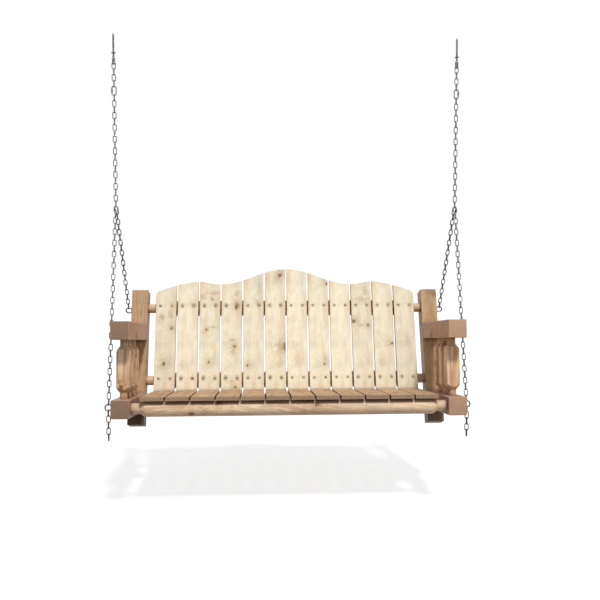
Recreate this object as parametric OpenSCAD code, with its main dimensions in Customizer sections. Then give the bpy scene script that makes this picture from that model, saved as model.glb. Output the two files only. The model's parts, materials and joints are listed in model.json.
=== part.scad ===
// Porch swing seat: two square-timber side frames joined by turned log rails, a slatted seat and a
// slatted back with a waved top, hung on straight-link chain from two eye screws.
// Row frame: X to the sitter's left, Y towards the back, Z up. The origin is the middle of the
// hanging line, which joins the points where the two top chain links turn in the hanger eyes.

/* [Timber] */
// Width of the square timber of the side frames
timber = 89; // [75:1:100]
// Chamfer along the edges of the timber
timber_chamfer = 3; // [1:0.5:6]
// Clear width between the two arms
clear_width = 1524; // [1400:1:1800]

/* [Side frames] */
// Height from the top of the side rail to the underside of the arm
arm_height = 285; // [230:1:330]
// How far the arm reaches forwards past the side rail
arm_overhang = 20; // [0:1:60]
// Distance from the rail's front end to the rear post's centre line
post_place = 549; // [500:1:620]
// Lean of the rear post and the back, from the square to the seat
back_lean = 12; // [5:0.5:18]
// Length of the rear post above the top of the side rail
post_above = 567; // [540:1:640]
// Length of the rear post below the top of the side rail
post_below = 178; // [130:1:220]
// Length of the round tenons on the arms and side rails
timber_tenon_length = 38; // [25:1:42]

/* [Spindles] */
// Width of the square spindle
spindle_width = 64; // [45:1:75]
// Distance between neighbouring spindles
spindle_pitch = 117; // [90:1:120]
// Diameter of the spindle's turned ends
spindle_tenon_d = 38; // [25:1:40]
// Depth of the spindle's ends in the arm and the rail
spindle_tenon_length = 25; // [15:1:40]
// Length of turned end in view at each end
spindle_neck = 30; // [15:1:50]
// Length of the cone between a turned end and the square
spindle_cone = 30; // [15:1:40]

/* [Log rails] */
// Diameter of the two rails under the seat
seat_rail_d = 80; // [65:1:95]
// Diameter of the two rails behind the back slats
back_rail_d = 86; // [65:1:95]
// Depth of the flat sawn on each rail where the slats lie
rail_flat = 2; // [1:0.5:4]
// Diameter of the tenons of all rails, arms included
rail_tenon_d = 51; // [40:1:60]
// Depth of the log rails' tenons in the side timbers
rail_tenon_length = 38; // [25:1:38]
// Length of tenon in view at each end of a log rail
rail_neck = 44; // [20:1:60]
// Length of the cone between the tenon and the full log
rail_cone = 24; // [10:1:40]
// Distance from the side rail's front end to the front seat rail's centre
front_rail_place = 60; // [50:1:90]
// Distance from the side rail's front end to the rear seat rail's centre
rear_rail_place = 450; // [380:1:455]
// Height of the lower back rail's centre along the post, from the side rail's top
lower_rail_place = 66; // [64:1:120]
// Distance of the upper back rail's centre below the post's top
upper_rail_drop = 97; // [70:1:127]

/* [Slats] */
// Gap between neighbouring slats
slat_gap = 8; // [4:1:12]
// Distance from a side timber to the nearest slat
slat_margin = 46; // [30:1:60]
// Thickness of every slat
slat_thickness = 19; // [12:0.5:25]
// Chamfer along the long edges of the slats
slat_chamfer = 1.5; // [0.5:0.25:3]
// Distance from the side rail's front end to the front end of the seat slats
slat_front = 8; // [-10:1:20]
// Distance from the side rail's front end to the rear end of the seat slats
slat_rear = 500; // [480:1:505]
// Gap between the seat slats and the foot of the back slats
back_slat_gap = 1; // [0.5:0.5:5]

/* [Back profile] */
// Height of the middle crest above the post's top
crest_rise = 112; // [60:1:150]
// Height of the two dips above the post's top
dip_rise = 25; // [0:1:60]
// Height of the two side humps above the post's top
hump_rise = 42; // [10:1:80]
// Height of the back's outer ends above the post's top
end_rise = -18; // [-60:1:20]
// Distance of the dips from the middle
dip_place = 365; // [300:1:420]
// Distance of the side humps from the middle
hump_place = 483; // [450:1:560]
// Radius of the back's two outer top corners
end_radius = 14; // [5:1:30]

/* [Screws] */
// Diameter of the slat screws' heads
screw_head_d = 10; // [8:0.5:12]
// Thickness of the slat screws' heads
screw_head_height = 2.5; // [1.5:0.5:4]
// Diameter of the counterbore that a head sits in
screw_bore_d = 14; // [13:0.5:16]
// Depth of the counterbore that a head sits in
screw_recess = 3; // [2:0.5:5]
// Diameter of the slat screws' shanks
screw_d = 5; // [3:0.5:6]
// Length of the slat screws under the head
screw_length = 45; // [30:1:60]
// Distance between the two screws of a slat on each rail
screw_spread = 62; // [40:1:80]

/* [Chain] */
// Diameter of the chain's wire
chain_wire = 5; // [4:0.5:6]
// Distance from link to link
chain_pitch = 30; // [26:1:36]
// Clear width inside a link
chain_inside = 12; // [11:0.5:14]
// Play between one link and the next
chain_play = 0.3; // [0.2:0.05:0.6]
// Links between the hanger eye and the connecting link, an even number
top_links = 4; // [2:2:8]
// Links between the connecting link and the fork, an odd number
upper_links = 19; // [13:2:25]
// Links of the front chain, an even number
front_links = 34; // [32:2:36]
// Links of the rear chain after its connecting link, an odd number
rear_links = 19; // [17:2:21]
// Links of each loose tail
tail_links = 5; // [2:1:10]
// Wire of the connecting link in the upper chain
connector_wire = 6; // [5:0.5:7]
// Clear length inside a connecting link
connector_length = 41; // [36:1:48]
// Clear width inside the connecting link of the upper chain
connector_inside = 15; // [13:0.5:18]
// Diameter of a connecting link's screw sleeve
sleeve_d = 10; // [9:0.5:12]
// Length of a connecting link's screw sleeve
sleeve_length = 16; // [10:1:20]

/* [Eye screws] */
// Wire of the hanger eyes and diameter of their shanks
hanger_wire = 10; // [8:0.5:12]
// Clear diameter of a hanger eye
hanger_eye = 26; // [24:1:36]
// Length of shank between the hanger eye and its flange
hanger_neck = 12; // [5:1:40]
// Length of shank above the flange
hanger_shank = 90; // [60:1:110]
// Diameter of the hanger's flange
hanger_flange_d = 24; // [18:1:36]
// Thickness of the hanger's flange
hanger_flange = 4; // [2:0.5:6]
// Wire of the eyes on the side frames
eye_wire = 8; // [6:0.5:9]
// Clear diameter of the eyes on the side frames
eye_clear = 24; // [20:1:30]
// Depth of the eye screws in the timber
eye_screw_depth = 46; // [30:1:46]
// Distance of the front eye from the side rail's front end
front_eye_place = 140; // [128:1:180]
// Distance from the side rail's face to the front eye's centre
front_eye_reach = 35; // [30:1:45]
// Distance of the rear eye below the post's top
rear_eye_drop = 107; // [67:1:127]
// Distance from the post's face to the rear eye's centre
rear_eye_reach = 21; // [21:1:45]

/* [Hanging] */
// Angle at which the seat hangs, back edge low
hang_tilt = 7; // [0:0.1:12]

/* [Hidden] */
spindle_count = 3;
slat_count = 12;
round_fn = 48;
wire_fn = 24;
side_x = (clear_width + timber) / 2;
face_x = clear_width / 2 + timber;
half = timber / 2;
upper_rail_place = post_above - upper_rail_drop;
rear_eye_place = post_above - rear_eye_drop;
slat_width = (clear_width - 2 * slat_margin - (slat_count - 1) * slat_gap) / slat_count;
slat_pitch = slat_width + slat_gap;
seat_rail_w = -half;
seat_slat_under = seat_rail_w + seat_rail_d / 2 - rail_flat;
seat_slat_top = seat_slat_under + slat_thickness;
back_slat_under = back_rail_d / 2 - rail_flat;
back_slat_face = back_slat_under + slat_thickness;
back_slat_foot = (seat_slat_top + back_slat_gap - back_slat_under * sin(back_lean)) / cos(back_lean);
tenon_gap = 2;
first_spindle = front_rail_place + rail_tenon_d / 2 + spindle_tenon_d / 2 + tenon_gap;
slats_half = (slat_count - 1) * slat_pitch / 2 + slat_width / 2;
curve_steps = 16;
socket_play = 0.1;
screw_point = 1;
ring_radius = (eye_clear + eye_wire) / 2;
hanger_radius = (hanger_eye + hanger_wire) / 2;

// Where the post's front face meets a level w above the side rail's top
function post_front(w) = post_place - half / cos(back_lean) + w * tan(back_lean);

// Seat coordinates [back, up] turned by the hanging tilt into the upright frame
function hung(p) = [
    p[0] * cos(hang_tilt) + p[1] * sin(hang_tilt),
    p[1] * cos(hang_tilt) - p[0] * sin(hang_tilt)
];

// Length of a run of chain from the first link's top wire to the last link's bottom wire
function run(n) = n * chain_pitch + chain_wire + chain_play;

// Where the wires of the two lower chains lie in the last upper link, from its end's centre
nest_r = chain_inside / 2 - chain_wire / 2 - chain_play;
nest_half = (chain_wire + chain_play) / 2;
nest_drop = sqrt(nest_r * nest_r - nest_half * nest_half);

// Each chain hangs straight above its front eye
hanging_half_width = face_x + front_eye_reach;

// Reach of each lower chain, from its eye's centre to the fork
eye_seat = ring_radius - (eye_wire + chain_wire) / 2 - chain_play;
connector_extra = connector_length - chain_pitch;
front_reach = run(front_links) + eye_seat + nest_drop;
rear_across = face_x + rear_eye_reach - hanging_half_width;
rear_reach = sqrt(pow(run(rear_links + 1) + connector_extra + eye_seat + nest_drop, 2) - pow(rear_across, 2));

// The fork lies where the two reaches meet
front_eye_yz = hung([front_eye_place, -half]);
rear_eye_seat = [post_place + rear_eye_place * sin(back_lean), rear_eye_place * cos(back_lean)];
rear_eye_yz = hung(rear_eye_seat);
eyes = rear_eye_yz - front_eye_yz;
eyes_apart = norm(eyes);
along = (pow(front_reach, 2) - pow(rear_reach, 2) + pow(eyes_apart, 2)) / (2 * eyes_apart);
above = sqrt(pow(front_reach, 2) - pow(along, 2));
fork_yz = front_eye_yz + (along * eyes + above * [-eyes[1], eyes[0]]) / eyes_apart;

// Drops down the upper chain, from the hanging line
joint_drop = (chain_wire + connector_wire) / 2 + chain_play;
link_long = chain_pitch + chain_play;
connector_drop = run(top_links) - joint_drop;
upper_drop = connector_drop + connector_length + connector_wire - joint_drop;
fork_in_link = link_long + chain_wire / 2 - chain_inside / 2;
fork_drop = upper_drop + (upper_links - 1) * chain_pitch + fork_in_link;
seat_shift = [0, -fork_yz[0], -fork_drop - fork_yz[1]];

LEFT = -1;
RIGHT = 1;

// ---- frames -------------------------------------------------------------------------------

// Seat frame: X across, Y back along the side rail from its front end, Z square to it from its top
module seat_frame() {
    translate(seat_shift) rotate([-hang_tilt, 0, 0]) children();
}

// Post frame: Z up along the post's centre line, -Y square out of its front face
module post_frame() {
    seat_frame() translate([0, post_place, 0]) rotate([-back_lean, 0, 0]) children();
}

// Mirrors a right-hand piece to the side that is asked for
module on_side(side) {
    mirror([side == LEFT ? 1 : 0, 0, 0]) children();
}

// ---- timber -------------------------------------------------------------------------------

// Rectangle with cut corners, about the origin
module eased_rect(width, length, cut) {
    x = width / 2;
    y = length / 2;
    polygon([
        [cut - x, -y], [x - cut, -y], [x, cut - y], [x, y - cut],
        [x - cut, y], [cut - x, y], [-x, y - cut], [-x, cut - y]
    ]);
}

// Square timber along +Z from z0 to z1, with its long edges and its ends eased
module timber_bar(z0, z1) {
    wide = timber + 2 * timber_chamfer;
    translate([0, 0, (z0 + z1) / 2]) intersection() {
        linear_extrude(z1 - z0 + wide, center = true) eased_rect(timber, timber, timber_chamfer);
        rotate([90, 0, 0]) linear_extrude(wide, center = true)
            eased_rect(wide, z1 - z0, 2 * timber_chamfer);
        rotate([90, 0, 90]) linear_extrude(wide, center = true)
            eased_rect(wide, z1 - z0, 2 * timber_chamfer);
    }
}

// Timber that runs back along the seat frame's Y, from y0 to the post's front face, at height w
module butted_timber(y0, w) {
    intersection() {
        translate([side_x, 0, w]) rotate([-90, 0, 0]) timber_bar(y0, post_place + post_above);
        translate([side_x, post_place, 0]) rotate([-back_lean, 0, 0])
            translate([-timber, -half - 2 * post_above, -post_above])
                cube([2 * timber, 2 * post_above, 3 * post_above]);
    }
}

// Round tenon of a butted timber, into the post; play widens it to the socket
module butted_tenon(w, play) {
    reach = post_front(w) + timber_tenon_length;
    translate([side_x, post_front(w) - half, w]) rotate([-90, 0, 0])
        cylinder(d = rail_tenon_d + play, h = reach + play - post_front(w) + half, $fn = round_fn);
}

// Socket of a log rail's tenon, cut from the inner face of a side timber
module rail_socket() {
    translate([side_x - half - 1, 0, 0]) rotate([0, 90, 0])
        cylinder(d = rail_tenon_d, h = rail_tenon_length + 1, $fn = round_fn);
}

// Socket of an eye screw, cut from the outer face of a side timber
module eye_socket() {
    translate([face_x - eye_screw_depth, 0, 0]) rotate([0, 90, 0])
        cylinder(d = eye_wire, h = eye_screw_depth + 1, $fn = round_fn);
}

// Sockets of the spindles, from height w upwards
module spindle_sockets(w) {
    for (i = [0 : spindle_count - 1])
        translate([side_x, first_spindle + i * spindle_pitch, w])
            cylinder(d = spindle_tenon_d, h = spindle_tenon_length, $fn = round_fn);
}

module side_rail(side) {
    color("#b08a66") seat_frame() on_side(side) difference() {
        union() {
            butted_timber(0, -half);
            butted_tenon(-half, 0);
        }
        translate([0, front_rail_place, seat_rail_w]) rail_socket();
        translate([0, rear_rail_place, seat_rail_w]) rail_socket();
        translate([0, front_eye_place, -half]) eye_socket();
        spindle_sockets(-spindle_tenon_length);
    }
}

module arm(side) {
    color("#b08a66") seat_frame() on_side(side) difference() {
        union() {
            butted_timber(-arm_overhang, arm_height + half);
            butted_tenon(arm_height + half, 0);
        }
        spindle_sockets(arm_height);
    }
}

module rear_post(side) {
    color("#b98f68") difference() {
        post_frame() on_side(side) difference() {
            translate([side_x, 0, 0]) timber_bar(-post_below, post_above);
            translate([0, 0, lower_rail_place]) rail_socket();
            translate([0, 0, upper_rail_place]) rail_socket();
            translate([0, 0, rear_eye_place]) eye_socket();
        }
        seat_frame() on_side(side) {
            butted_tenon(-half, socket_play);
            butted_tenon(arm_height + half, socket_play);
        }
    }
}

// Square spindle whose ends are turned down through a cone to round tenons
module spindle(side, index) {
    cone_d = spindle_width * sqrt(2);
    body = arm_height - 2 * spindle_neck;
    color("#c39a70") seat_frame() on_side(side)
        translate([side_x, first_spindle + index * spindle_pitch, 0]) {
            translate([0, 0, -spindle_tenon_length])
                cylinder(d = spindle_tenon_d, h = arm_height + 2 * spindle_tenon_length, $fn = round_fn);
            intersection() {
                translate([0, 0, spindle_neck]) linear_extrude(body)
                    eased_rect(spindle_width, spindle_width, timber_chamfer);
                union() {
                    translate([0, 0, spindle_neck])
                        cylinder(d1 = spindle_tenon_d, d2 = cone_d, h = spindle_cone, $fn = round_fn);
                    translate([0, 0, spindle_neck + spindle_cone])
                        cylinder(d = cone_d, h = body - 2 * spindle_cone, $fn = round_fn);
                    translate([0, 0, arm_height - spindle_neck - spindle_cone])
                        cylinder(d1 = cone_d, d2 = spindle_tenon_d, h = spindle_cone, $fn = round_fn);
                }
            }
        }
}

// ---- log rails ----------------------------------------------------------------------------

// Screw places along a rail
function screw_places() = [
    for (i = [0 : slat_count - 1], s = [-1, 1])
        (i - (slat_count - 1) / 2) * slat_pitch + s * screw_spread / 2
];

// Log rail along X with a turned tenon at each end and a flat towards +Z for the slats
module log_rail(d) {
    shoulder = clear_width / 2 - rail_neck;
    tip = clear_width / 2 + rail_tenon_length;
    difference() {
        rotate([0, 90, 0]) rotate_extrude($fn = round_fn) polygon([
            [0, -tip], [rail_tenon_d / 2, -tip], [rail_tenon_d / 2, -shoulder],
            [d / 2, -shoulder + rail_cone], [d / 2, shoulder - rail_cone],
            [rail_tenon_d / 2, shoulder], [rail_tenon_d / 2, tip], [0, tip]
        ]);
        translate([-slats_half - 1, -d, d / 2 - rail_flat]) cube([2 * slats_half + 2, 2 * d, d]);
        for (x = screw_places())
            translate([x, 0, d / 2 - rail_flat + slat_thickness - screw_recess - screw_length])
                cylinder(d = screw_d, h = screw_length, $fn = wire_fn);
    }
}

// Lays children with +Z as the slats' outside on a seat rail
module on_seat_rail(place) {
    seat_frame() translate([0, place, seat_rail_w]) children();
}

// Lays children with +Z as the slats' outside on a back rail
module on_back_rail(place) {
    post_frame() translate([0, 0, place]) rotate([90, 0, 0]) children();
}

module front_seat_rail() {
    color("#d2aa78") on_seat_rail(front_rail_place) log_rail(seat_rail_d);
}

module rear_seat_rail() {
    color("#d2aa78") on_seat_rail(rear_rail_place) log_rail(seat_rail_d);
}

module lower_back_rail() {
    color("#d2aa78") on_back_rail(lower_rail_place) log_rail(back_rail_d);
}

module upper_back_rail() {
    color("#d2aa78") on_back_rail(upper_rail_place) log_rail(back_rail_d);
}

// ---- slats and their screws ---------------------------------------------------------------

function slat_x(i) = (i - (slat_count + 1) / 2) * slat_pitch;

// Slat outline across its width, thickness up from 0, with chamfered outer edges
module slat_section() {
    w = slat_width / 2;
    c = slat_chamfer;
    t = slat_thickness;
    polygon([[-w, 0], [w, 0], [w, t - c], [w - c, t], [-w + c, t], [-w, t - c]]);
}

// Clearance hole and counterbore of one screw, with the slat's outside at z = 0
module screw_hole() {
    translate([0, 0, -slat_thickness - 1]) cylinder(d = screw_d, h = slat_thickness + 2, $fn = wire_fn);
    translate([0, 0, -screw_recess]) cylinder(d = screw_bore_d, h = screw_recess + 1, $fn = wire_fn);
}

module screw() {
    translate([0, 0, -screw_recess]) cylinder(d = screw_head_d, h = screw_head_height, $fn = wire_fn);
    translate([0, 0, -screw_recess - screw_length]) cylinder(d = screw_d, h = screw_length, $fn = wire_fn);
}

module seat_slat(i) {
    x = slat_x(i);
    color("#bd9468") seat_frame() difference() {
        translate([x, slat_rear, seat_slat_under]) rotate([90, 0, 0])
            linear_extrude(slat_rear - slat_front) slat_section();
        for (s = [-1, 1], place = [front_rail_place, rear_rail_place])
            translate([x + s * screw_spread / 2, place, seat_slat_top]) screw_hole();
    }
}

// Smooth step from a to b as t goes from 0 to 1
function eased(a, b, t) = a + (b - a) * (1 - cos(180 * t)) / 2;

// Height of the back's top edge above the post's top, at x from the middle
function wave(x) =
    x < dip_place
        ? eased(crest_rise, dip_rise, x / dip_place)
        : x < hump_place
            ? eased(dip_rise, hump_rise, (x - dip_place) / (hump_place - dip_place))
            : hump_rise - (hump_rise - end_rise) * pow((x - hump_place) / (slats_half - hump_place), 1.5);

// Drop of the rounded outer corner, at x from the middle
function corner_drop(x) =
    let (past = x - (slats_half - end_radius))
        past <= 0 ? 0 : end_radius - sqrt(max(0, end_radius * end_radius - past * past));

function back_top(x) = post_above + wave(abs(x)) - corner_drop(abs(x));

// Front outline of one back slat, with its share of the waved top edge
module back_slat_outline(x) {
    w = slat_width / 2;
    foot = [[x + w, back_slat_foot], [x - w, back_slat_foot]];
    top = [for (k = [0 : curve_steps]) let (u = x - w + k * slat_width / curve_steps) [u, back_top(u)]];
    polygon(concat(foot, top));
}

module back_slat(i) {
    x = slat_x(i);
    color("#ecd9ae") post_frame() difference() {
        intersection() {
            translate([0, -back_slat_under, 0]) rotate([90, 0, 0])
                linear_extrude(slat_thickness) back_slat_outline(x);
            translate([x, -back_slat_under, back_slat_foot - 1]) mirror([0, 1, 0])
                linear_extrude(2 * post_above) slat_section();
        }
        for (s = [-1, 1], place = [lower_rail_place, upper_rail_place])
            translate([x + s * screw_spread / 2, -back_slat_face, place]) rotate([90, 0, 0]) screw_hole();
    }
}

module seat_slat_screws() {
    color("#8f8676") seat_frame()
        for (place = [front_rail_place, rear_rail_place], x = screw_places())
            translate([x, place, seat_slat_top]) screw();
}

module back_slat_screws() {
    color("#8f8676") post_frame()
        for (place = [lower_rail_place, upper_rail_place], x = screw_places())
            translate([x, -back_slat_face, place]) rotate([90, 0, 0]) screw();
}

// ---- chain --------------------------------------------------------------------------------

// One link in the XZ plane, hanging down from the centre of its top wire at the origin
module link(wire, inside, long) {
    bend = (inside + wire) / 2;
    straight = long - inside;
    translate([0, 0, -bend]) rotate([90, 0, 0]) rotate_extrude(angle = 180, $fn = round_fn)
        translate([bend, 0]) circle(d = wire, $fn = wire_fn);
    translate([0, 0, -bend - straight]) rotate([-90, 0, 0]) rotate_extrude(angle = 180, $fn = round_fn)
        translate([bend, 0]) circle(d = wire, $fn = wire_fn);
    for (s = [-1, 1])
        translate([s * bend, 0, -bend - straight]) cylinder(d = wire, h = straight, $fn = wire_fn);
}

// Connecting link that opens at a screw sleeve on its outer leg
module connector(wire, inside, long) {
    link(wire, inside, long);
    translate([(inside + wire) / 2, 0, -(long + wire) / 2 - sleeve_length / 2])
        cylinder(d = sleeve_d, h = sleeve_length, $fn = wire_fn);
}

// A run of links that hang down from the origin, the first turned by roll
module hanging_links(count, roll, spacing) {
    for (i = [0 : count - 1])
        translate([0, 0, -i * spacing]) rotate([0, 0, roll + 90 * (i % 2)])
            link(chain_wire, chain_inside, link_long);
}

// Turns children, which hang down from the origin, to hang from one point towards another
module strung(from, to) {
    d = to - from;
    translate(from) rotate([atan2(d[1], -d[2]), 0, 0]) rotate([0, -asin(d[0] / norm(d)), 0]) children();
}

// The wire of a lower chain's first link in the fork; way is -1 for the front and 1 for the rear
function fork_wire(way) = [hanging_half_width, way * nest_half, -fork_drop - nest_drop];

// Centre of an eye on the side frame, in the row frame
function eye_centre(x, yz) = [x, yz[0] + seat_shift[1], yz[1] + seat_shift[2]];
front_eye_centre = eye_centre(hanging_half_width, front_eye_yz);
rear_eye_centre = eye_centre(face_x + rear_eye_reach, rear_eye_yz);

module hanger_eye(side) {
    flange_at = hanger_eye / 2 + hanger_wire + hanger_neck;
    shank_end = flange_at + hanger_flange + hanger_shank;
    color("#c9cccf") on_side(side)
        translate([hanging_half_width, 0, hanger_radius - (hanger_wire + chain_wire) / 2 - chain_play]) {
            rotate([0, 90, 0]) rotate_extrude($fn = round_fn)
                translate([hanger_radius, 0]) circle(d = hanger_wire, $fn = wire_fn);
            translate([0, 0, hanger_radius])
                cylinder(d = hanger_wire, h = shank_end - hanger_radius, $fn = round_fn);
            translate([0, 0, flange_at]) cylinder(d = hanger_flange_d, h = hanger_flange, $fn = round_fn);
            translate([0, 0, shank_end])
                cylinder(d1 = hanger_wire, d2 = screw_point, h = hanger_wire, $fn = round_fn);
        }
}

module upper_chain(side) {
    color("#d5d8da") on_side(side) translate([hanging_half_width, 0, 0]) {
        hanging_links(top_links, 0, chain_pitch);
        translate([0, 0, -upper_drop]) hanging_links(upper_links, 90, chain_pitch);
    }
}

module connecting_link(side) {
    color("#c9cccf") on_side(side) translate([hanging_half_width, 0, -connector_drop])
        connector(connector_wire, connector_inside, connector_length);
}

module front_chain(side) {
    from = fork_wire(-1);
    spacing = (norm(front_eye_centre - from) - eye_seat - chain_wire - chain_play) / front_links;
    color("#d5d8da") on_side(side) strung(from, front_eye_centre)
        hanging_links(front_links, 0, spacing);
}

module rear_chain(side) {
    from = fork_wire(1);
    first = connector_length - chain_play;
    reach = norm(rear_eye_centre - from) - eye_seat - first;
    color("#d5d8da") on_side(side) strung(from, rear_eye_centre) {
        connector(chain_wire, chain_inside, connector_length);
        translate([0, 0, -first])
            hanging_links(rear_links, 90, (reach - chain_wire - chain_play) / rear_links);
    }
}

// Eye screw that stands out of a side timber; the ring lies across the pull of its chain
module frame_eye(reach, centre, from) {
    strung(centre, from) rotate([90, 0, 0]) rotate_extrude($fn = round_fn)
        translate([ring_radius, 0]) circle(d = eye_wire, $fn = wire_fn);
    translate(centre) rotate([0, -90, 0]) translate([0, 0, ring_radius])
        cylinder(d = eye_wire, h = reach + eye_screw_depth - ring_radius, $fn = round_fn);
}

module front_eye(side) {
    color("#c9cccf") on_side(side) frame_eye(front_eye_reach, front_eye_centre, fork_wire(-1));
}

module rear_eye(side) {
    color("#c9cccf") on_side(side) frame_eye(rear_eye_reach, rear_eye_centre, fork_wire(1));
}

// Where the wire at the bottom of the front eye runs: the tail turns about this point
front_pull = fork_wire(-1) - front_eye_centre;
tail_pivot = front_eye_centre - ring_radius * front_pull / norm(front_pull);

// Spare chain that hangs loose from the bottom of the front eye
module tail_chain(side) {
    seat = (eye_wire + chain_wire) / 2 + chain_play;
    color("#d5d8da") on_side(side) translate(tail_pivot + [0, 0, seat])
        hanging_links(tail_links, 90, chain_pitch);
}

// ---- nodes --------------------------------------------------------------------------------

hanger_eye(LEFT);  // hanger_eye_left
hanger_eye(RIGHT);  // hanger_eye_right
connecting_link(LEFT);  // connecting_link_left
connecting_link(RIGHT);  // connecting_link_right
upper_chain(LEFT);  // upper_chain_left
upper_chain(RIGHT);  // upper_chain_right
front_chain(LEFT);  // front_chain_left
front_chain(RIGHT);  // front_chain_right
rear_chain(LEFT);  // rear_chain_left
rear_chain(RIGHT);  // rear_chain_right
tail_chain(LEFT);  // tail_chain_left
tail_chain(RIGHT);  // tail_chain_right
front_eye(LEFT);  // front_eye_left
front_eye(RIGHT);  // front_eye_right
rear_eye(LEFT);  // rear_eye_left
rear_eye(RIGHT);  // rear_eye_right
side_rail(LEFT);  // side_rail_left
side_rail(RIGHT);  // side_rail_right
arm(LEFT);  // arm_left
arm(RIGHT);  // arm_right
rear_post(LEFT);  // rear_post_left
rear_post(RIGHT);  // rear_post_right
spindle(LEFT, 0);  // front_spindle_left
spindle(RIGHT, 0);  // front_spindle_right
spindle(LEFT, 1);  // middle_spindle_left
spindle(RIGHT, 1);  // middle_spindle_right
spindle(LEFT, 2);  // rear_spindle_left
spindle(RIGHT, 2);  // rear_spindle_right
front_seat_rail();
rear_seat_rail();
lower_back_rail();
upper_back_rail();
seat_slat(1);  // seat_slat_01
seat_slat(2);  // seat_slat_02
seat_slat(3);  // seat_slat_03
seat_slat(4);  // seat_slat_04
seat_slat(5);  // seat_slat_05
seat_slat(6);  // seat_slat_06
seat_slat(7);  // seat_slat_07
seat_slat(8);  // seat_slat_08
seat_slat(9);  // seat_slat_09
seat_slat(10);  // seat_slat_10
seat_slat(11);  // seat_slat_11
seat_slat(12);  // seat_slat_12
back_slat(1);  // back_slat_01
back_slat(2);  // back_slat_02
back_slat(3);  // back_slat_03
back_slat(4);  // back_slat_04
back_slat(5);  // back_slat_05
back_slat(6);  // back_slat_06
back_slat(7);  // back_slat_07
back_slat(8);  // back_slat_08
back_slat(9);  // back_slat_09
back_slat(10);  // back_slat_10
back_slat(11);  // back_slat_11
back_slat(12);  // back_slat_12
seat_slat_screws();
back_slat_screws();
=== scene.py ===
"""Looks of the porch swing seat: pine timber, slats and log rails, zinc-plated chain, screws and light.

Lengths are in metres in the row's frame: X across, Y to the back, Z up, origin on the hanging line.
"""

import json
import math
import random

import bmesh
import bpy
import numpy as np
from mathutils import Matrix, Vector


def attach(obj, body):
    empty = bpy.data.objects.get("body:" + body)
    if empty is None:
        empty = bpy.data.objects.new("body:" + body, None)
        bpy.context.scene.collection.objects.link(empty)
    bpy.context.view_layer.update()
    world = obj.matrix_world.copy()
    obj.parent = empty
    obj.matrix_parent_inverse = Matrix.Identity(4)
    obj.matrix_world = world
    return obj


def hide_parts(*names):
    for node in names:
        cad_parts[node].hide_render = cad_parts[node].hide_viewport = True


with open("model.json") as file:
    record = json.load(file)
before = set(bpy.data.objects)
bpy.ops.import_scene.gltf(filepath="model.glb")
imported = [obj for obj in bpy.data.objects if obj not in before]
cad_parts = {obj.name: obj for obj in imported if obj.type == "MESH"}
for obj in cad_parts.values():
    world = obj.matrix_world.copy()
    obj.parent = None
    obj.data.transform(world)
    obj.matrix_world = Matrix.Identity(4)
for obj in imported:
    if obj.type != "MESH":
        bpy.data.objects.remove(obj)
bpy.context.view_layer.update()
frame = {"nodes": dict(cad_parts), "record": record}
NODES = frame["nodes"]
MM = 0.001

# ---- frames of the wood -------------------------------------------------------------------

# The seat surface's normal gives the angle at which the seat hangs; the back leans on from there
SEAT_NORMAL = Vector(next(m for m in frame["record"]["mounts"] if m["name"] == "seat_surface")["axis"])
HANG_TILT = math.atan2(SEAT_NORMAL.y, SEAT_NORMAL.z)
BACK_LEAN = math.radians(12)
SEAT_TURN = Matrix.Rotation(-HANG_TILT, 3, "X")
POST_TURN = Matrix.Rotation(-HANG_TILT - BACK_LEAN, 3, "X")

# Columns are a piece's own axes in the row's frame: across, thickness, and along the grain
ALONG_Z = Matrix.Identity(3)
ALONG_Y = Matrix(((1, 0, 0), (0, 0, 1), (0, -1, 0)))
ALONG_X = Matrix(((0, 0, 1), (0, 1, 0), (-1, 0, 0)))


def node_points(node):
    """The vertices of a CAD node, one row each."""
    mesh = NODES[node].data
    points = np.empty(len(mesh.vertices) * 3)
    mesh.vertices.foreach_get("co", points)
    return points.reshape(-1, 3)


def local_box(node, axes):
    """Lowest and highest corner of a node along its own axes."""
    points = node_points(node) @ np.array(axes)
    return points.min(0), points.max(0)


def find_screws(node, axes):
    """Middle, lowest and highest corner of each screw along the slats' axes."""
    apart = 20 * MM  # more than a screw's width, and less than the way from one to the next
    groups = []
    for point in node_points(node) @ np.array(axes):
        near = next((g for g in groups if abs(g[0][0] - point[0]) + abs(g[0][2] - point[2]) < apart), None)
        if near is None:
            groups.append([point])
        else:
            near.append(point)
    return [((np.min(g, 0) + np.max(g, 0)) / 2, np.min(g, 0), np.max(g, 0)) for g in groups]


SEAT_SLAT_AXES = SEAT_TURN @ ALONG_Y
BACK_SLAT_AXES = POST_TURN @ ALONG_Z
SEAT_SCREWS = find_screws("seat_slat_screws", SEAT_SLAT_AXES)
BACK_SCREWS = find_screws("back_slat_screws", BACK_SLAT_AXES)


# ---- node trees ---------------------------------------------------------------------------

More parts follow.
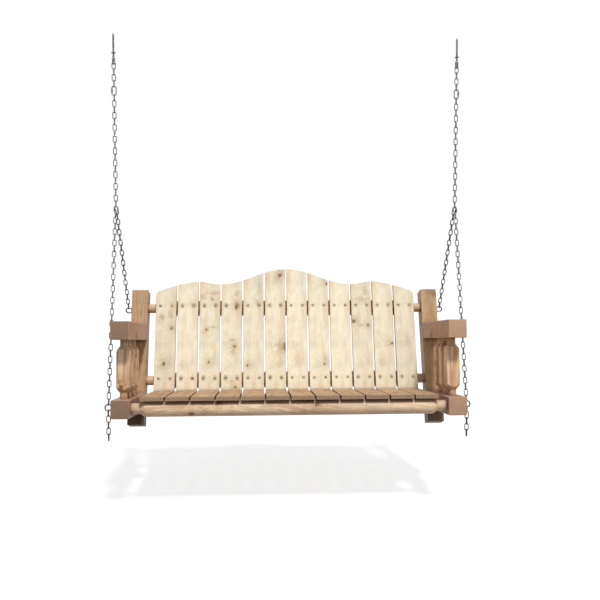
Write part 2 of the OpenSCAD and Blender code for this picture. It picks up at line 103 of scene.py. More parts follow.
class Tree:
    """Short calls that add and join the nodes of one shader tree."""

    def __init__(self, tree):
        self.tree = tree

    def put(self, node, key, value):
        if isinstance(value, bpy.types.NodeSocket):
            self.tree.links.new(value, node.inputs[key])
        else:
            node.inputs[key].default_value = value

    def add(self, kind, sockets=(), **settings):
        node = self.tree.nodes.new(kind)
        for key, value in settings.items():
            setattr(node, key, value)
        for key, value in dict(sockets).items():
            self.put(node, key, value)
        return node

    def math(self, operation, *values):
        node = self.add("ShaderNodeMath", operation=operation)
        for key, value in enumerate(values):
            self.put(node, key, value)
        return node.outputs[0]

    def vector(self, operation, *values):
        node = self.add("ShaderNodeVectorMath", operation=operation)
        for key, value in enumerate(values):
            self.put(node, key, value)
        return node.outputs["Value" if operation in ("LENGTH", "DOT_PRODUCT") else "Vector"]

    def times(self, *values):
        product = values[0]
        for value in values[1:]:
            product = self.math("MULTIPLY", product, value)
        return product

    def scaled(self, vector, factor):
        return self.add("ShaderNodeVectorMath", {0: vector, "Scale": factor}, operation="SCALE").outputs[0]

    def along_grain(self, point, share):
        """The point with its way along the grain cut to a share, so that a noise is drawn out that far."""
        return self.vector("MULTIPLY", point, (1.0, 1.0, share))

    def noise(self, point, scale, detail=2.0, rough=0.5):
        sockets = {"Vector": point, "Scale": scale, "Detail": detail, "Roughness": rough}
        return self.add("ShaderNodeTexNoise", sockets).outputs["Fac"]

    def ramp(self, value, low, high, to_low=0.0, to_high=1.0):
        """value from low to high becomes to_low to to_high, smoothly."""
        sockets = {"Value": value, "From Min": low, "From Max": high, "To Min": to_low, "To Max": to_high}
        return self.add("ShaderNodeMapRange", sockets, interpolation_type="SMOOTHSTEP").outputs["Result"]

    def mix(self, amount, first, second, blend="MIX"):
        node = self.add("ShaderNodeMix", data_type="RGBA", blend_type=blend)
        for key, value in (("Factor_Float", amount), ("A_Color", first), ("B_Color", second)):
            socket = next(s for s in node.inputs if s.identifier == key)
            if isinstance(value, bpy.types.NodeSocket):
                self.tree.links.new(value, socket)
            else:
                socket.default_value = value
        return next(s for s in node.outputs if s.identifier == "Result_Color")

    def crevices(self, reach, darkest):
        """1 on open surfaces, falling to darkest in corners and joints: painted shade where little of the sky
        reaches.
        """
        sockets = {"Distance": reach}
        open_sky = self.add("ShaderNodeAmbientOcclusion", sockets, samples=6).outputs["AO"]
        return self.ramp(open_sky, 0.35, 0.95, darkest, 1.0)

    def xyz(self, vector):
        return self.add("ShaderNodeSeparateXYZ", {"Vector": vector}).outputs

    def combine(self, x, y, z):
        return self.add("ShaderNodeCombineXYZ", {"X": x, "Y": y, "Z": z}).outputs["Vector"]


def new_group(name, inputs, outputs):
    """An empty node group, with its tree and the sockets of its input node."""
    group = bpy.data.node_groups.new(name, "ShaderNodeTree")
    for socket_name, kind in inputs:
        group.interface.new_socket(socket_name, in_out="INPUT", socket_type="NodeSocket" + kind)
    for socket_name, kind in outputs:
        group.interface.new_socket(socket_name, in_out="OUTPUT", socket_type="NodeSocket" + kind)
    return group, Tree(group), group.nodes.new("NodeGroupInput").outputs


def finish_group(tree, **values):
    end = tree.tree.nodes.new("NodeGroupOutput")
    for key, value in values.items():
        tree.tree.links.new(value, end.inputs[key])


def use_group(tree, group, sockets):
    node = tree.tree.nodes.new("ShaderNodeGroup")
    node.node_tree = group
    for key, value in sockets.items():
        tree.put(node, key, value)
    return node.outputs


def new_material(name):
    """A material, its tree and its shader."""
    material = bpy.data.materials.new(name)
    material.use_nodes = True
    return material, Tree(material.node_tree), material.node_tree.nodes["Principled BSDF"]


def set_material(node, material):
    materials = NODES[node].data.materials
    materials.clear()
    materials.append(material)


def add_object(name, data):
    made = bpy.data.objects.new(name, data)
    bpy.context.scene.collection.objects.link(made)
    return made


def srgb(text):
    """Linear colour of a written sRGB colour such as c8a57d."""
    parts = [int(text[i:i + 2], 16) / 255 for i in (0, 2, 4)]
    return (*[p / 12.92 if p <= 0.04045 else ((p + 0.055) / 1.055) ** 2.4 for p in parts], 1.0)


# ---- pine ---------------------------------------------------------------------------------

# The number after a noise's point is its scale: cycles a metre, or cycles a unit where the point is a
# direction or counts rings. A ramp's first two numbers are the values that it leads from, and the next two,
# where there are any, are what it leads to in the place of 0 and 1.


def make_knot_group():
    """Distance from a knot's axis in knot radii, and the strength of the stain round it."""
    group, tree, given = new_group(
        "knot",
        [("Point", "Vector"), ("Centre", "Vector"), ("Axis", "Vector"), ("Radius", "Float"),
         ("Stretch", "Float")],
        [("Distance", "Float"), ("Halo", "Float")])
    away = tree.vector("SUBTRACT", given["Point"], given["Centre"])
    depth = tree.vector("DOT_PRODUCT", away, given["Axis"])
    along = tree.scaled(given["Axis"], depth)
    flat = tree.xyz(tree.vector("SUBTRACT", away, along))
    shape = tree.combine(flat["X"], flat["Y"], tree.math("DIVIDE", flat["Z"], given["Stretch"]))
    distance = tree.math("DIVIDE", tree.vector("LENGTH", shape), given["Radius"])
    ragged = tree.ramp(tree.noise(given["Point"], 90.0), 0.3, 0.7, 0.75, 1.3)
    rays = tree.ramp(tree.noise(tree.vector("NORMALIZE", shape), 2.4, 2.0), 0.32, 0.68, 0.7, 1.35)
    spread = tree.times(distance, rays, -0.36)
    clouds = tree.ramp(tree.noise(given["Point"], 70.0, 3.0), 0.35, 0.65, 0.55, 1.0)
    finish_group(tree, Distance=tree.times(distance, ragged),
                 Halo=tree.times(tree.math("EXPONENT", spread), clouds))
    return group


def make_blot_group():
    """Strength of a soft brown blot across the face of a board."""
    group, tree, given = new_group(
        "blot", [("Point", "Vector"), ("Centre", "Vector"), ("Size", "Vector"), ("Strength", "Float")],
        [("Amount", "Float")])
    away = tree.vector("DIVIDE", tree.vector("SUBTRACT", given["Point"], given["Centre"]), given["Size"])
    ragged = tree.ramp(tree.noise(given["Point"], 55.0, 3.0), 0.3, 0.7, 0.6, 1.5)
    distance = tree.times(tree.vector("LENGTH", away), ragged)
    fade = tree.math("EXPONENT", tree.times(tree.math("POWER", distance, 2.0), -1.0))
    finish_group(tree, Amount=tree.times(fade, given["Strength"]))
    return group


def make_pine_group():
    """Solid pine: growth rings round a leaning pith, fibres, resin lines and knots, with end grain."""
    group, tree, given = new_group(
        "pine",
        [("Point", "Vector"), ("Pith", "Vector"), ("Lean", "Vector"), ("Knots", "Float"), ("Stain", "Float"),
         ("End", "Float"), ("End tone", "Float"), ("Edge", "Float"), ("Ring", "Float"), ("Contrast", "Float"),
         ("Rough sawn", "Float"), ("Early", "Color"), ("Late", "Color"), ("Warm", "Color"), ("Cool", "Color"),
         ("Knot", "Color")],
        [("Color", "Color"), ("Height", "Float"), ("Roughness", "Float")])
    point = given["Point"]
    long_grain = tree.along_grain(point, 0.12)
    place = tree.xyz(point)

    # Growth rings
    shift = tree.scaled(given["Lean"], place["Z"])
    from_pith = tree.xyz(tree.vector("SUBTRACT", tree.vector("SUBTRACT", point, given["Pith"]), shift))
    radius = tree.vector("LENGTH", tree.combine(from_pith["X"], from_pith["Y"], 0.0))
    wander = tree.ramp(tree.noise(long_grain, 7.0, 3.0), 0.25, 0.75, -0.010, 0.010)
    waver = tree.ramp(tree.noise(long_grain, 55.0, 2.0), 0.25, 0.75, -0.0011, 0.0011)
    near = tree.math("EXPONENT", tree.times(tree.math("POWER", given["Knots"], 2.0), -0.22))
    bulge = tree.times(near, tree.times(given["Ring"], 3.2))
    radius = tree.math("ADD", tree.math("ADD", radius, wander), tree.math("ADD", waver, bulge))
    rings = tree.math("DIVIDE", radius, given["Ring"])
    uneven = tree.ramp(tree.noise(tree.combine(rings, 0.0, 0.0), 0.55, 1.0), 0.3, 0.7, -0.8, 0.8)
    phase = tree.math("FRACT", tree.math("ADD", rings, uneven))
    rise = tree.ramp(phase, 0.25, 0.88)
    fall = tree.ramp(phase, 0.90, 1.0, 1.0, 0.0)
    late = tree.times(rise, fall)

    # Colour: rings, then broad tints, fibres and resin lines
    colour = tree.mix(tree.times(late, given["Contrast"]), given["Early"], given["Late"])
    broad = tree.noise(tree.along_grain(point, 0.16), 16.0, 3.0)
    colour = tree.mix(tree.ramp(broad, 0.46, 0.72, 0.0, 0.85), colour, given["Warm"])
    drift = tree.noise(tree.vector("ADD", long_grain, (7.3, 1.9, 4.1)), 24.0, 2.0)
    colour = tree.mix(tree.ramp(drift, 0.52, 0.80, 0.0, 0.55), colour, given["Cool"])
    fibres = tree.noise(tree.along_grain(point, 0.022), 420.0, 3.0, 0.6)
    fibre_shade = tree.ramp(fibres, 0.25, 0.75, 0.90, 1.06)
    resin = tree.ramp(tree.noise(tree.along_grain(point, 0.05), 900.0), 0.66, 0.74)
    shade = tree.times(fibre_shade, tree.math("SUBTRACT", 1.0, tree.times(resin, 0.16)))
    smudges = tree.ramp(tree.noise(point, 11.0, 4.0, 0.6), 0.30, 0.70, 0.88, 1.06)
    shade = tree.times(shade, smudges)

    # Knots: a stain, a dark rim and a brown heart with its own rings
    stain = tree.add("ShaderNodeHueSaturation", {"Color": tree.mix(0.46, given["Warm"], given["Knot"])})
    tree.put(stain, "Saturation", 1.25)
    colour = tree.mix(given["Stain"], colour, stain.outputs["Color"])
    heart_rings = tree.math("SINE", tree.times(given["Knots"], 26.0))
    heart = tree.mix(tree.ramp(heart_rings, -1.0, 1.0, 0.55, 1.0), given["Warm"], given["Knot"])
    colour = tree.mix(tree.ramp(given["Knots"], 0.70, 1.25, 1.0, 0.0), colour, heart)
    rim = tree.math("SUBTRACT", 1.0, tree.math("ABSOLUTE", tree.math("SUBTRACT", given["Knots"], 1.0)))
    rim = tree.ramp(rim, 0.80, 0.98)
    colour = tree.mix(tree.times(rim, 0.5), colour, given["Knot"])

    # End grain drinks more stain, hides most of its rings and shows saw arcs; edges are pale from wear and a
    # painted highlight
    arcs = tree.ramp(tree.noise(tree.vector("MULTIPLY", point, (1.0, 9.0, 1.0)), 60.0), 0.4, 0.6)
    end_shade = tree.math("SUBTRACT", given["End tone"], tree.times(arcs, 0.12))
    even = tree.mix(0.22, given["Early"], given["Late"])
    colour = tree.mix(tree.times(given["End"], 0.78), colour, even)
    worn = tree.mix(0.45, given["Early"], (1.0, 0.93, 0.82, 1.0))
    scuffs = tree.ramp(tree.noise(point, 60.0, 3.0), 0.35, 0.65, 0.25, 0.85)
    colour = tree.mix(tree.times(given["Edge"], scuffs), colour, worn)
    kept = tree.math("SUBTRACT", 1.0, given["End"])
    shade = tree.times(shade, tree.math("ADD", kept, tree.times(end_shade, given["End"])))
    value = tree.add("ShaderNodeHueSaturation", {"Color": colour, "Value": shade})
    tree.put(value, "Saturation", tree.math("SUBTRACT", 1.0, tree.times(given["End"], 0.05)))

    # Relief: raised latewood, fibres, open resin lines, and saw marks across the grain
    saw = tree.noise(tree.vector("MULTIPLY", point, (0.02, 0.02, 1.0)), 330.0, 2.0)
    hewn = tree.noise(tree.along_grain(point, 0.25), 38.0, 2.0)
    sawn = tree.math("ADD", tree.times(saw, 0.9), tree.times(hewn, 2.4))
    height = tree.math("ADD", tree.times(late, 0.45), tree.times(fibres, 0.7))
    height = tree.math("SUBTRACT", height, tree.times(resin, 0.5))
    height = tree.math("ADD", height, tree.times(sawn, given["Rough sawn"]))
    height = tree.math("ADD", height, tree.times(rim, -0.8))
    roughness = tree.math("ADD", tree.ramp(fibres, 0.2, 0.8, 0.50, 0.66), tree.times(late, -0.07))
    finish_group(tree, Color=value.outputs["Color"], Height=height, Roughness=roughness)
    return group


KNOT_GROUP = make_knot_group()
BLOT_GROUP = make_blot_group()
PINE_GROUP = make_pine_group()

# A distance, in knot radii, at which a knot no longer shows
FAR = 9.0
# The size of a random knot, before its own share
KNOT_RADIUS = 9 * MM
# What the painted shade in corners leaves of the wood's colour
CREVICE_TINT = (0.44, 0.37, 0.33, 1.0)
# How far the pale edges, from wear and a painted highlight, and the painted shade on the slats' edges reach
# round a corner
EDGE_RADIUS = 2.5 * MM
# How deep the grain stands out
RELIEF = 0.6 * MM
# How much the oiled wood reflects
SHINE = 0.35
# Where the painted shade on a post's foot begins to fade and where it ends, up from the post's bottom
FOOT_FADE = (0.07, 0.13)
# Where the stain round a screw begins to fade and where it ends
SCREW_FADE = (7 * MM, 17 * MM)

# Early wood, late wood, warm patches, cool patches and knot hearts of each kind of piece
PINES = {
    "timber": ("b48e70", "7d583b", "a5765a", "967c6a", "44281a"),
    "arm": ("be9676", "8c644e", "af8063", "a28875", "44281a"),
    "post": ("c8a57d", "946c45", "b7895f", "a98f70", "54331e"),
    "spindle": ("e8c8a4", "ae8560", "d2a27a", "c2a98c", "54331e"),
    "log": ("ebcfad", "c29a73", "dab08f", "cdb59d", "7a5236"),
    "seat": ("bf9b76", "84593a", "ad7b55", "a08a72", "4c2d1b"),
    "back": ("eae1c7", "d8c39c", "d6b78c", "d9d2c4", "664a28"),
}


def knot_chain(tree, point, knots, blots):
    """Distance from the nearest knot in knot radii, and the strongest stain of all knots and blots."""
    nearest = FAR
    stain = 0.0
    for centre, axis, radius, stretch in knots:
        outputs = use_group(tree, KNOT_GROUP, {
            "Point": point, "Centre": centre, "Axis": axis, "Radius": radius, "Stretch": stretch})
        nearest = tree.math("MINIMUM", outputs["Distance"], nearest)
        stain = tree.math("MAXIMUM", outputs["Halo"], stain)
    for centre, size, strength in blots:
        outputs = use_group(tree, BLOT_GROUP, {
            "Point": point, "Centre": centre, "Size": size, "Strength": strength})
        stain = tree.math("MAXIMUM", outputs["Amount"], stain)
    return nearest, stain


def screw_stain(tree, point, node, axes, screws):
    """Stain round the screws of a slat, drawn out along the grain."""
    low, high = local_box(node, axes)
    own = [middle for middle, _, _ in screws if low[0] < middle[0] < high[0]]
    spread = max(middle[0] for middle in own) - (low[0] + high[0]) / 2
    place = tree.xyz(point)
    across = tree.math("SUBTRACT", tree.math("ABSOLUTE", place["X"]), spread)
    away = []
    for row in (min(middle[2] for middle in own), max(middle[2] for middle in own)):
        along = tree.times(tree.math("SUBTRACT", place["Z"], row - low[2]), 0.7)
        away.append(tree.vector("LENGTH", tree.combine(across, along, 0.0)))
    patchy = tree.ramp(tree.noise(point, 45.0, 3.0), 0.35, 0.65, 0.4, 1.0)
    return tree.times(tree.ramp(tree.math("MINIMUM", *away), *SCREW_FADE, 1.0, 0.0), patchy)


def pine(node, kind, axes, pith, lean, knots, ring, contrast, rough_sawn=0.0, bump=0.6, end_tone=0.9,
         side_tone=1.0, worn=1.0, edge_tone=1.0, tone=1.0, foot_tone=1.0, reach=30, blots=(), screws=(),
         rust=0.0):
    """Gives a CAD node its own pine.

    Knots are places, axes, radii and stretches in the piece's own frame, and blots are places, sizes and
    strengths. Each tone is a factor on the colour of what it names; the tones of the slats' sides, of their
    edges and of a post's foot are painted shade. The strength of the pale edges gives wear and a painted
    highlight. The width of a ring and the reach of the painted shade in corners are in mm.
    """
    low, high = local_box(node, axes)
    origin = axes @ Vector(((low[0] + high[0]) / 2, (low[1] + high[1]) / 2, low[2]))
    material, tree, shader = new_material("pine_" + node)
    coordinates = tree.add("ShaderNodeTexCoord").outputs
    mapping = tree.add("ShaderNodeMapping", {"Vector": coordinates["Object"]}, vector_type="TEXTURE")
    tree.put(mapping, "Location", origin)
    tree.put(mapping, "Rotation", axes.to_euler())
    point = mapping.outputs["Vector"]

    # How squarely the surface faces across the piece and along its grain, from 0 to 1
    sideways, endways = (tree.math("ABSOLUTE", tree.vector("DOT_PRODUCT", coordinates["Normal"], axes.col[k]))
                         for k in (0, 2))
    # An edge is where a rounded corner's normal parts from the surface's own
    rounded = tree.add("ShaderNodeBevel", {"Radius": EDGE_RADIUS}, samples=6).outputs[0]
    bend = tree.vector("DOT_PRODUCT", rounded, tree.add("ShaderNodeNewGeometry").outputs["Normal"])
    edge = tree.ramp(bend, 0.90, 0.99, 1.0, 0.0)
    colours = dict(zip(("Early", "Late", "Warm", "Cool", "Knot"), map(srgb, PINES[kind])))
    hearts, stain = knot_chain(tree, point, knots, blots)
    outputs = use_group(tree, PINE_GROUP, {
        "Point": point, "Pith": pith, "Lean": lean, "Knots": hearts, "Stain": stain,
        "End": tree.ramp(endways, 0.6, 0.9), "End tone": end_tone, "Edge": tree.times(edge, worn),
        "Ring": ring * MM, "Contrast": contrast, "Rough sawn": rough_sawn, **colours})
    # Painted shade: faces that look across a slat, into the gaps, are darker
    sides = tree.ramp(sideways, 0.75, 0.95, tone, tone * side_tone)
    # Painted shade on a post's foot, darker towards its bottom under the seat
    foot = tree.ramp(tree.xyz(point)["Z"], *FOOT_FADE, foot_tone, 1.0)
    # Painted shade along the slats' edges, times the piece's own tone and the foot's painted shade
    grime = tree.times(sides, foot, tree.ramp(edge, 0.0, 1.0, 1.0, edge_tone))
    colour = outputs["Color"]
    if screws:
        amount = tree.times(screw_stain(tree, point, node, axes, screws), rust)
        colour = tree.mix(amount, colour, colours["Knot"])
    # Painted shade, tinted warm, in corners and joints and under overhanging parts
    dirty = tree.mix(1.0, colour, CREVICE_TINT, "MULTIPLY")
    colour = tree.mix(tree.crevices(reach * MM, 0.0), dirty, colour)
    shaded = tree.scaled(colour, grime)
    relief = tree.add("ShaderNodeBump", {"Height": outputs["Height"], "Strength": bump, "Distance": RELIEF})
    for key, value in (("Base Color", shaded), ("Roughness", outputs["Roughness"]),
                       ("Normal", relief.outputs["Normal"])):
        tree.put(shader, key, value)
    shader.inputs["Specular IOR Level"].default_value = SHINE
    set_material(node, material)


def dice_for(node):
    """The same random draws for a node at each run."""
    return random.Random(sum((place + 1) * ord(letter) for place, letter in enumerate(node)))


def random_knots(dice, count, half, length):
    """Knots that run from the heart of a timber out through one of its faces."""
    knots = []
    for _ in range(count):
        angle = dice.uniform(0, 2 * math.pi)
        axis = Vector((math.cos(angle), math.sin(angle), dice.uniform(-0.25, 0.25))).normalized()
        height = dice.uniform(0.05, 0.95) * length
        centre = Vector((half * math.cos(angle), half * math.sin(angle), height))
        knots.append((centre, axis, KNOT_RADIUS * dice.uniform(0.55, 1.2), dice.uniform(1.0, 1.7)))
    return knots


def dress_timber(node, kind, axes, count, contrast, **finish):
    """Square timber or a log with the pith near its middle."""
    dice = dice_for(node)
    low, high = local_box(node, axes)
    half = (high[0] - low[0]) / 2
    pith = (dice.uniform(-0.5, 0.5) * half, dice.uniform(-0.5, 0.5) * half, 0.0)
    lean = (dice.uniform(-0.05, 0.05), dice.uniform(-0.05, 0.05), 0.0)
    knots = random_knots(dice, count, half, high[2] - low[2])
    pine(node, kind, axes, pith, lean, knots, ring=dice.uniform(4.2, 5.6), contrast=contrast, **finish)


# How dark each side's timbers are made: tones of the end grain and of the whole for the rail and the
# arm, and one tone each for the post, its foot and the spindles; the foot's tone is painted shade
STAINS = {
    "left": {"side_rail": (0.70, 0.90), "arm": (0.61, 1.05), "post": 0.85, "foot": 0.17, "spindle": 1.0},
    "right": {"side_rail": (1.14, 1.0), "arm": (1.09, 1.05), "post": 1.0, "foot": 0.34, "spindle": 1.12},
}
for side, stain in STAINS.items():
    for name, kind, contrast in (("side_rail", "timber", 0.55), ("arm", "arm", 0.50)):
        end_tone, tone = stain[name]
        dress_timber(f"{name}_{side}", kind, SEAT_TURN @ ALONG_Y, 3, contrast, rough_sawn=0.6,
                     end_tone=end_tone, tone=tone)
    dress_timber("rear_post_" + side, "post", POST_TURN @ ALONG_Z, 4, 0.5, rough_sawn=0.4,
                 tone=stain["post"], foot_tone=stain["foot"])
    for place in ("front", "middle", "rear"):
        dress_timber(f"{place}_spindle_{side}", "spindle", SEAT_TURN @ ALONG_Z, 2, 0.9, rough_sawn=3.4,
                     bump=1.0, worn=1.6, tone=stain["spindle"])
for name in ("front_seat_rail", "rear_seat_rail"):
    # The seat rails' longer reach spreads the painted shade under the slats' overhang
    dress_timber(name, "log", SEAT_TURN @ ALONG_X, 4, 0.7, rough_sawn=0.8, worn=0.0, reach=60)
for name in ("lower_back_rail", "upper_back_rail"):
    dress_timber(name, "log", POST_TURN @ ALONG_X, 5, 0.7, rough_sawn=0.8, worn=0.0)

# Knots on the back slats: slat, mm to the right of its middle, mm above its foot, radius in mm, stretch
BACK_KNOTS = (
    (1, -4, 142, 7, 1.5), (1, 33, 339, 5, 1.3), (3, -17, 330, 5, 1.2), (3, -3, 150, 4, 1.5),
    (3, 13, 503, 4, 1.4), (4, 24, 456, 6, 1.9), (4, 16, 235, 7, 1.0), (4, 22, 12, 6, 1.2),
    (5, -34, 130, 5, 1.2), (6, 29, 640, 9, 1.2), (6, 50, 232, 8, 2.6), (8, 27, 133, 5, 1.0),
    (8, 50, 590, 6, 1.4), (10, -43, 373, 8, 1.2), (10, 34, 351, 5, 1.1), (11, 43, 246, 6, 1.1),
)
# Blots on the back slats: slat, mm to the right of its middle, mm above its foot, half width and half
# height in mm, strength
BACK_BLOTS = (
    (1, -20, 400, 14, 22, 0.58), (1, 22, 417, 12, 34, 0.54), (1, 33, 344, 13, 16, 0.54),
    (1, -8, 149, 20, 20, 0.34), (2, -30, 137, 15, 22, 0.31), (2, 20, 470, 30, 20, 0.24),
    (3, -42, 514, 20, 14, 0.58), (3, 14, 536, 36, 12, 0.48), (3, 22, 343, 22, 4, 0.85),
    (3, -22, 318, 14, 12, 0.44), (4, 26, 470, 16, 28, 0.68), (4, 28, 528, 15, 20, 0.41),
    (4, 2, 271, 22, 12, 0.58), (4, 8, 208, 15, 20, 0.58), (4, 4, 42, 28, 8, 0.48),
    (5, -30, 140, 18, 22, 0.41), (5, 26, 475, 14, 22, 0.51), (5, 36, 578, 15, 44, 0.34),
    (6, 32, 232, 24, 42, 0.71), (6, 18, 628, 26, 32, 0.54), (6, 26, 132, 20, 26, 0.31),
    (7, 0, 172, 20, 54, 0.31), (8, 34, 165, 16, 22, 0.34), (10, -8, 350, 28, 14, 0.48),
    (10, 0, 498, 36, 20, 0.41), (10, 22, 548, 13, 27, 0.41), (11, -17, 150, 20, 42, 0.31),
    (12, 10, 265, 18, 44, 0.27),
)
# How far the screws have stained each back slat
BACK_RUST = (0.12, 0.44, 0.46, 0.52, 0.22, 0.38, 0.14, 0.12, 0.10, 0.24, 0.28, 0.22)
# The way a knot runs through a slat
THROUGH = Vector((0.08, 1.0, 0.12)).normalized()
SLAT_COUNT = sum(name.startswith("back_slat_") and name[-1].isdigit() for name in NODES)


def dress_slat(node, kind, axes, knots, **finish):
    """A thin board sawn to one side of the pith, so that its face shows long flames."""
    dice = dice_for(node)
    pith = (dice.uniform(-0.04, 0.04), dice.choice((-1, 1)) * dice.uniform(0.03, 0.07), 0.0)
    lean = (dice.uniform(-0.02, 0.02), dice.uniform(-0.09, 0.09), 0.0)
    pine(node, kind, axes, pith, lean, knots, ring=dice.uniform(3.4, 5.2), tone=dice.uniform(0.92, 1.04),
         **finish)


def dress_back_slat(number):
    knots = [(Vector((x, 0.0, z)) * MM, THROUGH, radius * MM, stretch)
             for slat, x, z, radius, stretch in BACK_KNOTS if slat == number]
    blots = [(Vector((x, 0.0, z)) * MM, Vector((wide * MM, 1.0, high * MM)), strength)
             for slat, x, z, wide, high, strength in BACK_BLOTS if slat == number]
    dress_slat(f"back_slat_{number:02d}", "back", BACK_SLAT_AXES, knots, contrast=0.34, bump=0.35, worn=0.0,
               edge_tone=0.62, end_tone=0.6, side_tone=0.32, blots=blots, screws=BACK_SCREWS,
               rust=BACK_RUST[number - 1])


def dress_seat_slat(number):
    name = f"seat_slat_{number:02d}"
    dice = dice_for(name + "_knots")
    knots = [(Vector((dice.uniform(-0.04, 0.04), 0.0, dice.uniform(0.03, 0.46))), THROUGH,
              dice.uniform(4, 9) * MM, dice.uniform(1.0, 1.8)) for _ in range(2)]
    dress_slat(name, "seat", SEAT_SLAT_AXES, knots, contrast=0.65, end_tone=0.74, side_tone=0.5,
               screws=SEAT_SCREWS, rust=0.4)


for number in range(1, SLAT_COUNT + 1):
    dress_back_slat(number)
    dress_seat_slat(number)


def make_feet(name):
    """Wedges that carry the back slats' square feet down to the slope of the seat."""
    mesh = bmesh.new()
    data = bpy.data.meshes.new(name)
    for number in range(1, SLAT_COUNT + 1):
        slat = f"back_slat_{number:02d}"
        low, high = local_box(slat, BACK_SLAT_AXES)
        drop = (high[1] - low[1]) * math.tan(BACK_LEAN)
        outline = ((low[1], low[2]), (high[1], low[2]), (low[1], low[2] - drop))
        left, right = ([mesh.verts.new(BACK_SLAT_AXES @ Vector((x, y, z))) for y, z in outline]
                       for x in (low[0], high[0]))
        sides = [mesh.faces.new((left[k], left[k - 1], right[k - 1], right[k])) for k in range(3)]
        for face in (mesh.faces.new(left), mesh.faces.new(right), *sides):
            face.material_index = number - 1
        data.materials.append(NODES[slat].data.materials[0])
    bmesh.ops.recalc_face_normals(mesh, faces=mesh.faces)
    mesh.to_mesh(data)
    mesh.free()
    piece = add_object(name, data)
    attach(piece, "seat")


make_feet("back_slat_feet")

# ---- metal --------------------------------------------------------------------------------

# How far the painted shade where links touch and in the screws' recesses reaches
ZINC_DIRT_REACH = 7 * MM
ZINC_RELIEF = 0.2 * MM


def zinc(name, tone, dull, roughness, darkest=0.25):
    """Zinc plate: a mottled tone with duller, rougher patches and fine pits, with painted shade where parts
    touch and in recesses.
    """
    material, tree, shader = new_material(name)
    point = tree.add("ShaderNodeTexCoord").outputs["Object"]
    patches = tree.noise(point, 70.0, 4.0, 0.6)
    pits = tree.noise(point, 900.0, 2.0)
    colour = tree.mix(tree.ramp(patches, 0.42, 0.70), srgb(tone), srgb(dull))
    # Painted shade in the hollows, darkest where parts touch
    grime = tree.crevices(ZINC_DIRT_REACH, darkest)
    colour = tree.scaled(colour, grime)
    relief = tree.add("ShaderNodeBump", {"Height": pits, "Strength": 0.25, "Distance": ZINC_RELIEF})
    tree.put(shader, "Base Color", colour)
    tree.put(shader, "Roughness", tree.ramp(patches, 0.35, 0.75, roughness, roughness + 0.22))
    tree.put(shader, "Normal", relief.outputs["Normal"])
    shader.inputs["Metallic"].default_value = 1.0
    return material


def dress(nodes, material):
    for node in nodes:
        set_material(node, material)
        for polygon in NODES[node].data.polygons:
            polygon.use_smooth = True


def sided(*names):
    return [f"{name}_{side}" for name in names for side in ("left", "right")]


dress(sided("upper_chain", "front_chain"), zinc("zinc_chain", "868886", "4a4c4a", 0.20))
# The rear chains and tails take a darker copy of the chain's zinc: painted shade
dress(sided("rear_chain", "tail_chain"), zinc("weathered_chain", "5c5a56", "35332f", 0.26))
dress(sided("hanger_eye", "front_eye", "rear_eye", "connecting_link"),
      zinc("zinc_fittings", "7f8180", "484a49", 0.24))
SCREW_STEEL = zinc("screw_steel", "c4ae86", "80694a", 0.36, 0.5)

# ---- slat screws --------------------------------------------------------------------------

# The cross recess: half the width of an arm, its length from the middle, and the depth
CROSS_WIDTH = 0.7 * MM
CROSS_REACH = 2.9 * MM
CROSS_DEPTH = 1.7 * MM
# The domed head from the cross outwards: share of its radius, and depth below the top of its dome
HEAD_PROFILE = ((0.70, 0.1 * MM), (0.90, 0.5 * MM), (1.0, 1.3 * MM), (1.0, 2.5 * MM))


def cross_outline():
    """Outline of a cross recess, with a point at each corner and in the middle of each side."""
    w, r = CROSS_WIDTH, CROSS_REACH
    arm = [(r, 0.0), (r, w), ((r + w) / 2, w), (w, w), (w, (r + w) / 2), (w, r)]
    turns = [(1, 0), (0, 1), (-1, 0), (0, -1)]
    return [(x * c - y * s, x * s + y * c) for c, s in turns for x, y in arm]


def screw_rings(radius, length):
    """Rings of points from the bottom of the cross, over the domed head and down the shank to its point."""
    outline = cross_outline()

    def ring(r, depth):
        return [(r * x / math.hypot(x, y), r * y / math.hypot(x, y), depth) for x, y in outline]

    bottom = [(0.6 * x, 0.6 * y, CROSS_DEPTH) for x, y in outline]
    rim = [(x, y, 0.0) for x, y in outline]
    head = [ring(share * radius, depth) for share, depth in HEAD_PROFILE]
    underside = HEAD_PROFILE[-1][1]
    shank = radius / 2
    tip = 0.1 * shank
    return [bottom, rim, *head, ring(shank, underside), ring(shank, length - shank), ring(tip, length)]


def make_screws(name, node, axes, screws):
    """Cross-head screws in the place of a node's plain ones."""
    dice = dice_for(name)
    mesh = bmesh.new()
    for middle, low, high in screws:
        angle = dice.uniform(0, math.pi)
        c, s = math.cos(angle), math.sin(angle)
        rings = []
        for ring in screw_rings((high[0] - low[0]) / 2, high[1] - low[1]):
            corners = [(middle[0] + c * x - s * y, low[1] + depth, middle[2] + s * x + c * y)
                       for x, y, depth in ring]
            rings.append([mesh.verts.new(axes @ Vector(corner)) for corner in corners])
        for inner, outer in zip(rings, rings[1:]):
            for k in range(len(inner)):
                after = (k + 1) % len(inner)
                mesh.faces.new((inner[k], inner[after], outer[after], outer[k]))
        mesh.faces.new(rings[0])
        mesh.faces.new(reversed(rings[-1]))
    bmesh.ops.recalc_face_normals(mesh, faces=mesh.faces)
    data = bpy.data.meshes.new(name)
    mesh.to_mesh(data)
    mesh.free()
    data.materials.append(SCREW_STEEL)
    piece = add_object(name, data)
    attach(piece, "seat")
    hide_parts(node)


make_screws("seat_screws", "seat_slat_screws", SEAT_SLAT_AXES, SEAT_SCREWS)
make_screws("back_screws", "back_slat_screws", BACK_SLAT_AXES, BACK_SCREWS)

# ---- light, floor and camera --------------------------------------------------------------

# The floor lies under the loose tails
FLOOR_HEIGHT = -2.235
FLOOR_REACH = 30.0
FLOOR_GREY = (0.32, 0.32, 0.32, 1.0)
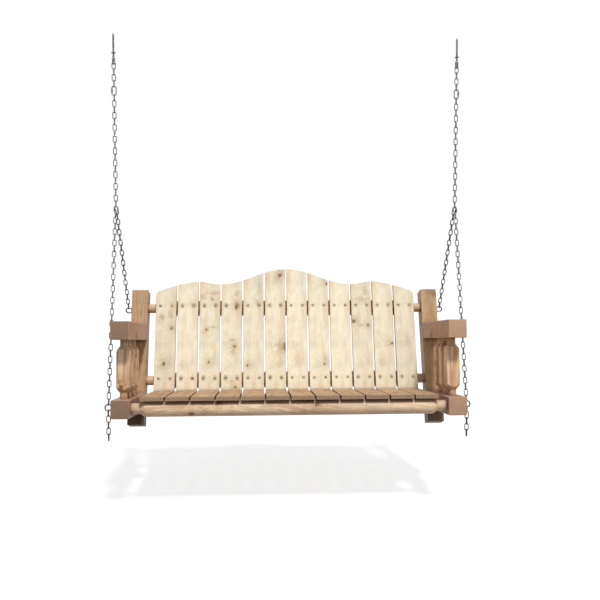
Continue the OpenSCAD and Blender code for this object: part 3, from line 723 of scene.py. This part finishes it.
# How bright the floor glows where it is seen directly, so that only its shadow shows
FLOOR_GLOW = 0.75
# How bright the white world is as a light; seen directly it is 1
AMBIENT = 0.38
WHITE = (1.0, 1.0, 1.0, 1.0)

# The camera: its place, its turns in degrees below the level and to the right, and its lens in mm
CAMERA_PLACE = (-0.1528, -4.0748, -0.9357)
CAMERA_DOWN = 3.977
CAMERA_RIGHT = 3.081
LENS = 46.51
SENSOR = 36.0


def seen_directly(tree):
    """1 for rays by which the camera, a reflection or glass sees a surface."""
    path = tree.add("ShaderNodeLightPath").outputs
    either = tree.math("MAXIMUM", path["Is Camera Ray"], path["Is Glossy Ray"])
    return tree.math("MAXIMUM", either, path["Is Transmission Ray"])


def make_world():
    world = bpy.data.worlds.new("studio")
    bpy.context.scene.world = world
    world.use_nodes = True
    tree = Tree(world.node_tree)
    background = world.node_tree.nodes["Background"]
    background.inputs["Color"].default_value = WHITE
    tree.put(background, "Strength", tree.ramp(seen_directly(tree), 0.0, 1.0, AMBIENT, 1.0))


def make_floor():
    mesh = bpy.data.meshes.new("floor")
    corners = [(x * FLOOR_REACH, y * FLOOR_REACH, FLOOR_HEIGHT)
               for x, y in ((-1, -1), (1, -1), (1, 1), (-1, 1))]
    mesh.from_pydata(corners, [], [(0, 1, 2, 3)])
    floor = add_object("floor", mesh)
    material, tree, shader = new_material("floor")
    material.node_tree.nodes.remove(shader)
    matte = tree.add("ShaderNodeBsdfDiffuse", {"Color": FLOOR_GREY}).outputs[0]
    glow = tree.add("ShaderNodeEmission", {"Color": WHITE, "Strength": 1.0}).outputs[0]
    both = tree.add("ShaderNodeAddShader", {0: matte, 1: glow}).outputs[0]
    amount = tree.times(seen_directly(tree), FLOOR_GLOW)
    mixed = tree.add("ShaderNodeMixShader", {0: amount, 1: matte, 2: both}).outputs[0]
    tree.put(material.node_tree.nodes["Material Output"], "Surface", mixed)
    mesh.materials.append(material)


def make_sun(name, towards, strength, angle):
    """Soft sunlight that comes from the direction given; its angle is in degrees."""
    light = bpy.data.lights.new(name, "SUN")
    light.energy = strength
    light.angle = math.radians(angle)
    lamp = add_object(name, light)
    lamp.rotation_euler = Vector(towards).to_track_quat("Z", "Y").to_euler()


def make_camera():
    """Camera fitted to the corners of the side frames, slats and rails."""
    camera = bpy.data.cameras.new("camera")
    camera.lens = LENS
    camera.sensor_width = SENSOR
    view = add_object("camera", camera)
    view.location = CAMERA_PLACE
    view.rotation_euler = (math.radians(90 - CAMERA_DOWN), 0.0, math.radians(-CAMERA_RIGHT))
    bpy.context.scene.camera = view


make_world()
make_floor()
make_sun("key", towards=(0.18, -0.60, 1.0), strength=2.85, angle=7)
make_sun("fill", towards=(0.3, -1.0, 0.60), strength=0.20, angle=50)
make_sun("back", towards=(-0.4, 1.0, 0.55), strength=0.55, angle=40)
make_camera()
bpy.context.scene.view_settings.view_transform = "Standard"
